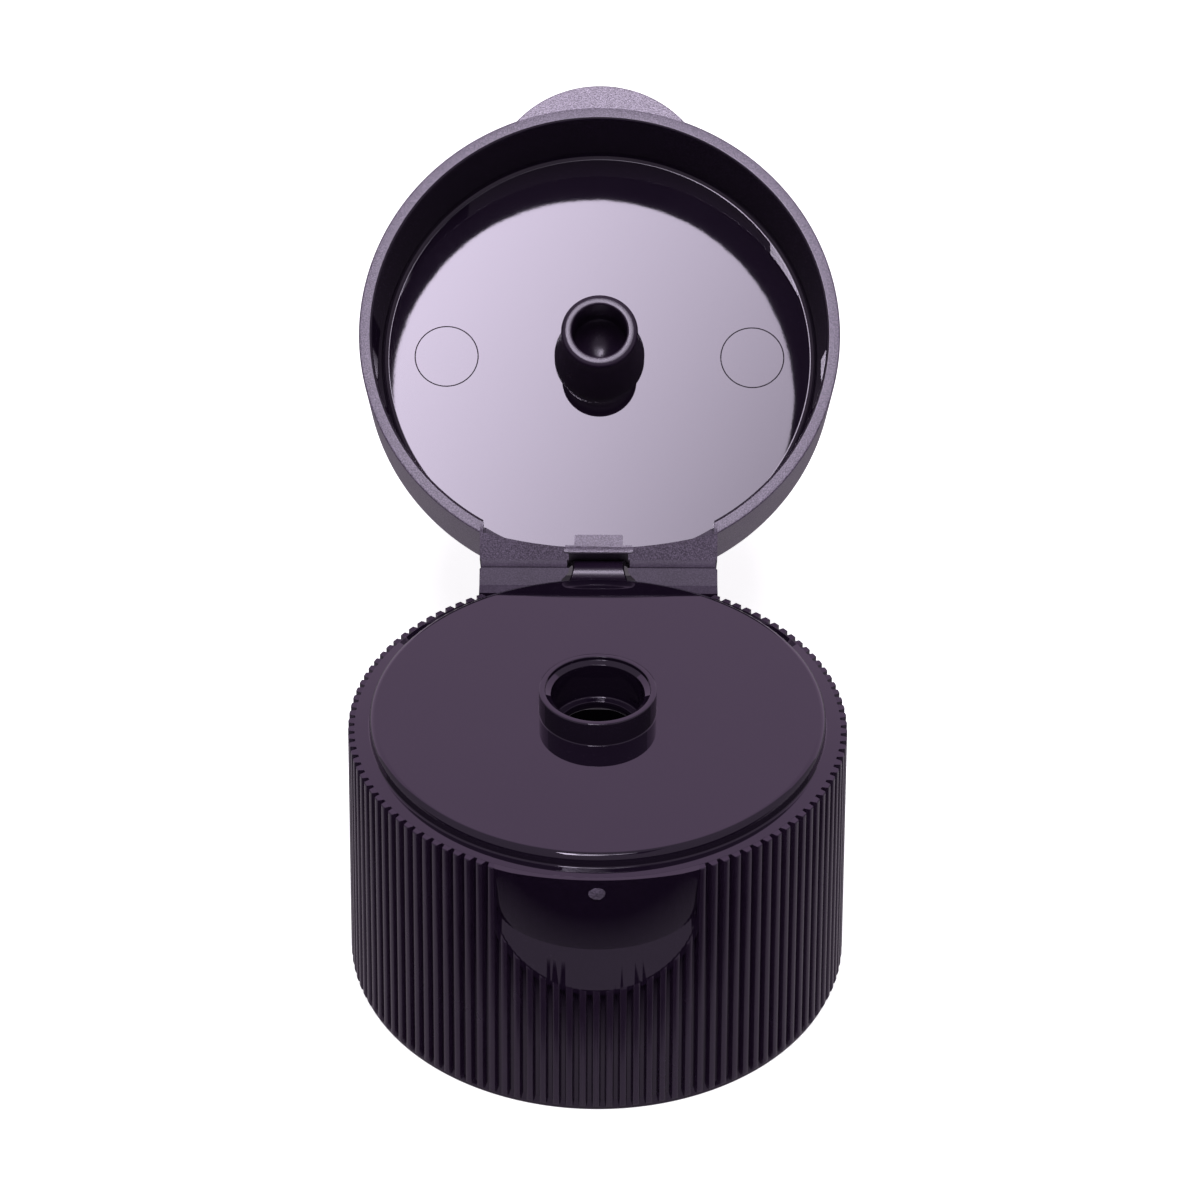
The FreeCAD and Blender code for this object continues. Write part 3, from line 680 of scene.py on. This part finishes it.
def steppedTongue(piece):
    # a narrow block and a wide one in front of the hinge wall
    l = lid
    height, turn = l["depth"] + l["tongueLap"], l["tongueRound"]
    blocks = ((l["tongueHalf"], l["tongueReach"], l["wallReach"] + l["tongueSink"], l["tongueEnd"]),
              (l["stepHalf"], l["stepReach"], l["stepReach"] + l["stepDepth"], l["stepEnd"]))
    for half, near, far, end in blocks:
        outline = roundOff([(-half, near, turn), (half, near, turn), (half, far, turn), (-half, far, turn)])
        block = prismPiece("tongueTool", [(x, y, end) for x, y in outline], (0, 0, height - end))
        combine(piece, block, "UNION")


def pinRings(piece):
    # the rings that the ejector pins leave in the floor
    l = lid
    for side in (-1, 1):
        clearSelection()
        bpy.ops.mesh.primitive_torus_add(
            major_radius=l["pinRadius"], minor_radius=l["pinGroove"],
            major_segments=l["pinSteps"], minor_segments=8,
            location=(side * l["pinReach"], 0, l["depth"]))
        combine(piece, bpy.context.object)


def lidWindow(piece):
    l = lid
    w, line = hingeWindow, hinge.z - closure["skirtHeight"] - l["rimGap"]
    halfWindow = [(w["footHalf"], line + l["windowDrop"]), (w["shoulderHalf"], line + w["shoulderDrop"]),
                  (w["topHalf"], line + w["throat"]), (w["topHalf"], -1)]
    outline = halfWindow + [(-x, z) for x, z in reversed(halfWindow)]
    points = [(x, l["windowFloor"], z) for x, z in outline]
    combine(piece, prismPiece("lidWindowTool", points, (0, w["push"], 0)))


def plugPiece():
    p, depth = plug, lid["depth"]
    tip, root = depth - p["length"], depth + p["sink"]
    return spinPiece("sealPlug", [
        (0, root), (p["rootRadius"], root), (p["rootRadius"], depth - p["rootHeight"], 0.3),
        (p["neckRadius"], depth - p["neckHeight"], 0.6), (p["neckRadius"], tip + p["beadHeight"], 0.2),
        (p["beadRadius"], tip + p["beadHeight"] - p["beadSlope"], 0.15), (p["beadRadius"], tip, 0.28),
        (p["holeRadius"], tip, 0.12), (p["holeRadius"], tip + p["holeDepth"] - p["holeCone"], 0.15),
        (0, tip + p["holeDepth"] + p["holeCone"])], p["turnSteps"], closed=False)


swing = (Matrix.Translation(hinge) @ Matrix.Rotation(-openAngle, 4, "X") @ Matrix.Translation(-hinge)
         @ Matrix.Translation((0, 0, closure["skirtHeight"] + lid["rimGap"])))
lidBody, plugBody = lidPiece(), plugPiece()
lidBody.data.materials.append(eroded)
for finish in (polished, web, tabLitFinish):
    lidBody.data.materials.append(finish)
# The tab's faces take the lighter finish, whose extra lightness is painted light
for face in lidBody.data.polygons:
    middle = face.center
    inside = middle.xy.length < lid["mouthRadius"] + lid["polishedLip"] and middle.z < lid["depth"] + 0.05
    atHinge = abs(middle.x) < lid["bayHalf"] - 0.02 and middle.y > lid["tongueReach"] - 0.05
    onTab = middle.xy.length > lid["rimRadius"] + 0.02 and middle.y < 0
    onTongue = (abs(middle.x) < lid["stepHalf"] + 0.02 and face.normal.z < -0.5
                and lid["tongueReach"] - 0.05 < middle.y < lid["windowFloor"])
    face.material_index = 3 if onTab else 0 if onTongue else 2 if atHinge else 1 if inside else 0
selectWhere(lidBody, lambda at: abs(at.z - lid["depth"]) < 0.001
            and at.xy.length < lid["floorRadius"], "FACE")
markOutline()
# The round between floor and wall ends on the wall here
selectWhere(lidBody, lambda at: lid["roundLow"] < lid["depth"] - at.z < lid["roundHigh"]
            and abs(at.xy.length - lid["floorRadius"] - lid["roundInset"]) < 0.02, "EDGE")
bpy.ops.mesh.mark_sharp()
leaveEdit()
plugBody.data.materials.append(satin)
for piece in (lidBody, plugBody):
    finishPiece(piece, "lid", swing)
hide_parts("flip_lid")
for node in ("hinge_film_left", "hinge_film_right", "snap_strap"):
    mesh = frame["nodes"][node].data
    mesh.materials.clear()
    mesh.materials.append(satin if node == "snap_strap" else web)
print("lid made")

# Stage: a pale floor, a white backdrop behind, and a soft lamp
stage = {
    "floorSize": 1.2, "floorColour": (0.82, 0.82, 0.83, 1), "whiteness": 0.8,
    "mirrorFront": -0.0235, "mirrorFull": -0.0185, "mirrorLevel": 0.46,
    "roomNear": -0.07, "roomFar": -0.14,
    "backdropDistance": 0.7, "ambient": 0.35, "mirroredRoom": 0.5, "mirrorViolet": (0.93, 0.7, 1.0, 1),
    "mirroredBackdrop": 1.15,
    "roomViolet": (0.97, 0.86, 1.0, 1),
}


def stagePlane(name, corners, finish):
    # corners: low and high of a flat sheet, with no thickness along one axis
    low, high = Vector(corners[0]), Vector(corners[1])
    clearSelection()
    upright = low.y == high.y
    bpy.ops.mesh.primitive_plane_add(size=1, location=(low + high) / 2,
                                     rotation=(math.pi / 2 if upright else 0, 0, 0))
    plane = bpy.context.object
    plane.name = plane.data.name = name
    size = high - low
    plane.scale = (size.x, size.z if upright else size.y, 1)
    applyPlace()
    plane.data.materials.append(finish)


def floorFinish():
    # seen directly it is white with the cap's shadow; in the plastic's mirror it is dimmer, with a dark band
    finish = Finish("floorPaint")
    place = finish.node("ShaderNodeTexCoord", None, None, "Object")
    depth = finish.node("ShaderNodeSeparateXYZ", None, {"Vector": place}, "Y")
    level = finish.node("ShaderNodeMapRange", None, {
        "Value": depth, "From Min": stage["mirrorFront"], "From Max": stage["mirrorFull"],
        "To Min": 0.0, "To Max": stage["mirrorLevel"]})
    cameraRay = finish.node("ShaderNodeLightPath", None, None, "Is Camera Ray")
    glossyRay = finish.node("ShaderNodeLightPath", None, None, "Is Glossy Ray")
    plain = finish.node("ShaderNodeBsdfDiffuse", None, {"Color": stage["floorColour"]})
    glow = finish.node("ShaderNodeEmission", None, {
        "Color": (1, 1, 1, 1), "Strength": cameraRay * stage["whiteness"]})
    direct = finish.node("ShaderNodeAddShader", None, {0: plain, 1: glow})
    far = finish.node("ShaderNodeMapRange", None, {
        "Value": depth, "From Min": stage["roomNear"], "From Max": stage["roomFar"],
        "To Min": 0.0, "To Max": stage["mirroredRoom"]})
    mirrored = finish.node("ShaderNodeEmission", None, {"Color": stage["roomViolet"], "Strength": level + far})
    return finish.output(finish.node("ShaderNodeMixShader", None, {0: glossyRay, 1: direct, 2: mirrored}))


def backdropFinish():
    # white where it is seen directly, and the violet that the deck mirrors
    finish = Finish("backdropPaper")
    cameraRay = finish.node("ShaderNodeLightPath", None, None, "Is Camera Ray")
    glossyRay = finish.node("ShaderNodeLightPath", None, None, "Is Glossy Ray")
    mirrored = finish.node("ShaderNodeEmission", None, {
        "Color": stage["mirrorViolet"], "Strength": glossyRay * stage["mirroredBackdrop"]})
    seen = finish.node("ShaderNodeEmission", None, {"Color": (1, 1, 1, 1), "Strength": 1.0})
    return finish.output(finish.node("ShaderNodeMixShader", None, {0: cameraRay, 1: mirrored, 2: seen}))


reach, away = stage["floorSize"], stage["backdropDistance"]
stagePlane("floor", ((-reach, -reach, -0.00002), (reach, reach, -0.00002)), floorFinish())
stagePlane("backdrop", ((-reach, away, 0), (reach, away, reach)), backdropFinish())

world = bpy.data.worlds.new("studio")
bpy.context.scene.world = world
world.use_nodes = True
nodes, links = world.node_tree.nodes, world.node_tree.links
path = nodes.new("ShaderNodeLightPath")
mirroredLevel = nodes.new("ShaderNodeMapRange")
links.new(path.outputs["Is Glossy Ray"], mirroredLevel.inputs["Value"])
mirroredLevel.inputs["To Min"].default_value = stage["ambient"]
mirroredLevel.inputs["To Max"].default_value = stage["mirroredRoom"]
seenLevel = nodes.new("ShaderNodeMath")
seenLevel.operation = "MAXIMUM"
links.new(path.outputs["Is Camera Ray"], seenLevel.inputs[0])
links.new(mirroredLevel.outputs[0], seenLevel.inputs[1])
links.new(seenLevel.outputs[0], nodes["Background"].inputs["Strength"])
tone = nodes.new("ShaderNodeMix")
tone.data_type = "RGBA"
tone.inputs[6].default_value, tone.inputs[7].default_value = stage["roomViolet"], (1, 1, 1, 1)
links.new(path.outputs["Is Camera Ray"], tone.inputs[0])
links.new(tone.outputs[2], nodes["Background"].inputs["Color"])


# A square soft lamp that faces the cap; radiance is how bright it looks in a mirror
softbox = {
    "direction": (0, -0.39, 0.92), "distance": 0.9, "middle": (0, 0.012, 0.02), "side": 0.34,
    "radiance": 17.5, "colour": (0.96, 0.93, 1.0),
}
lamp = bpy.data.lights.new("topSoftbox", "AREA")
lamp.shape, lamp.size, lamp.size_y = "RECTANGLE", softbox["side"], softbox["side"]
lamp.energy, lamp.color = softbox["radiance"] * math.pi * softbox["side"] ** 2, softbox["colour"]
holder = bpy.data.objects.new("topSoftbox", lamp)
bpy.context.scene.collection.objects.link(holder)
way = Vector(softbox["direction"]).normalized()
holder.location = way * softbox["distance"] + Vector(softbox["middle"])
holder.rotation_euler = way.to_track_quat("Z", "Y").to_euler()

camera = {
    "distance": 0.22771, "elevation": 0.6286, "target": (0.0000994, 0.00659, 0.020047), "roll": 0.0045,
    "lens": 120.0,
}
eye = bpy.data.cameras.new("photoCamera")
eye.lens, eye.sensor_width = camera["lens"], 36.0
eye.clip_start, eye.clip_end = 0.01, 20.0
viewer = bpy.data.objects.new("photoCamera", eye)
bpy.context.scene.collection.objects.link(viewer)
away = Vector((0, -math.cos(camera["elevation"]), math.sin(camera["elevation"])))
viewer.location = Vector(camera["target"]) + away * camera["distance"]
viewer.rotation_mode = "QUATERNION"
viewer.rotation_quaternion = (Matrix.Rotation(math.pi / 2 - camera["elevation"], 3, "X")
                              @ Matrix.Rotation(camera["roll"], 3, "Z")).to_quaternion()
bpy.context.scene.camera = viewer

# Card in front of the lamp that only mirrored rays meet: a dark ring round the lamp's picture in the lid's
# floor, and inside it a veil that thins towards the upper left, where the photograph is brightest
card = {
    "distance": 0.85, "size": 0.5, "radius": 12.1, "drop": 2.2, "aside": 0.4, "squash": 0.963, "ring": 1.6,
    "edge": 0.006, "level": 0.72, "left": 0.12, "up": 0.07, "span": 6.2,
    "darkColour": (0.1, 0.08, 0.12, 1), "darkLevel": 0.3,
}


def cardFinish(floorScale):
    finish = Finish("lampCard")
    place = finish.node("ShaderNodeTexCoord", None, None, "Object")
    across = finish.node("ShaderNodeSeparateXYZ", None, {"Vector": place}, "X")
    up = finish.node("ShaderNodeSeparateXYZ", None, {"Vector": place}, "Y")
    radius, drop = card["radius"] * floorScale, card["drop"] * floorScale
    height, width = (up + drop) * (1 / card["squash"]), across + card["aside"] * floorScale
    reach = finish.node("ShaderNodeMath", {"operation": "SQRT"}, {0: width * width + height * height})
    outside = finish.node("ShaderNodeMapRange", None, {
        "Value": reach, "From Min": radius * (1 - card["edge"]), "From Max": radius * (1 + card["edge"])})
    within = finish.node("ShaderNodeMath", {"operation": "LESS_THAN"}, {0: reach, 1: radius * card["ring"]})
    unit = card["span"] * floorScale
    level = card["level"] - across * (card["left"] / unit) + up * (card["up"] / unit)
    shade = finish.node("ShaderNodeMath", {"operation": "MAXIMUM"}, {0: outside * within, 1: 1 - level})
    glossyRay = finish.node("ShaderNodeLightPath", None, None, "Is Glossy Ray")
    clear = finish.node("ShaderNodeBsdfTransparent")
    dark = finish.node("ShaderNodeEmission", None, {
        "Color": card["darkColour"], "Strength": card["darkLevel"]})
    return finish.output(finish.node("ShaderNodeMixShader", None, {0: shade * glossyRay, 1: clear, 2: dark}))


floorSpot = millimetre * (swing @ Vector((0, 0, lid["depth"])))
floorNormal = (swing.to_3x3() @ Vector((0, 0, -1))).normalized()
mirrorEye = viewer.location - 2 * (viewer.location - floorSpot).dot(floorNormal) * floorNormal
cardWay = (floorSpot - mirrorEye).normalized()
mirrorReach = (floorSpot - mirrorEye).length
cardScale = millimetre * (mirrorReach + card["distance"]) / mirrorReach
clearSelection()
bpy.ops.mesh.primitive_plane_add(size=card["size"])
lampCard = bpy.context.object
lampCard.name = lampCard.data.name = "lampCard"
lampCard.location = floorSpot + cardWay * card["distance"]
lampCard.rotation_euler = cardWay.to_track_quat("Z", "Y").to_euler()
lampCard.data.materials.append(cardFinish(cardScale))
bpy.context.scene.view_settings.view_transform = "Standard"
print("stage made")
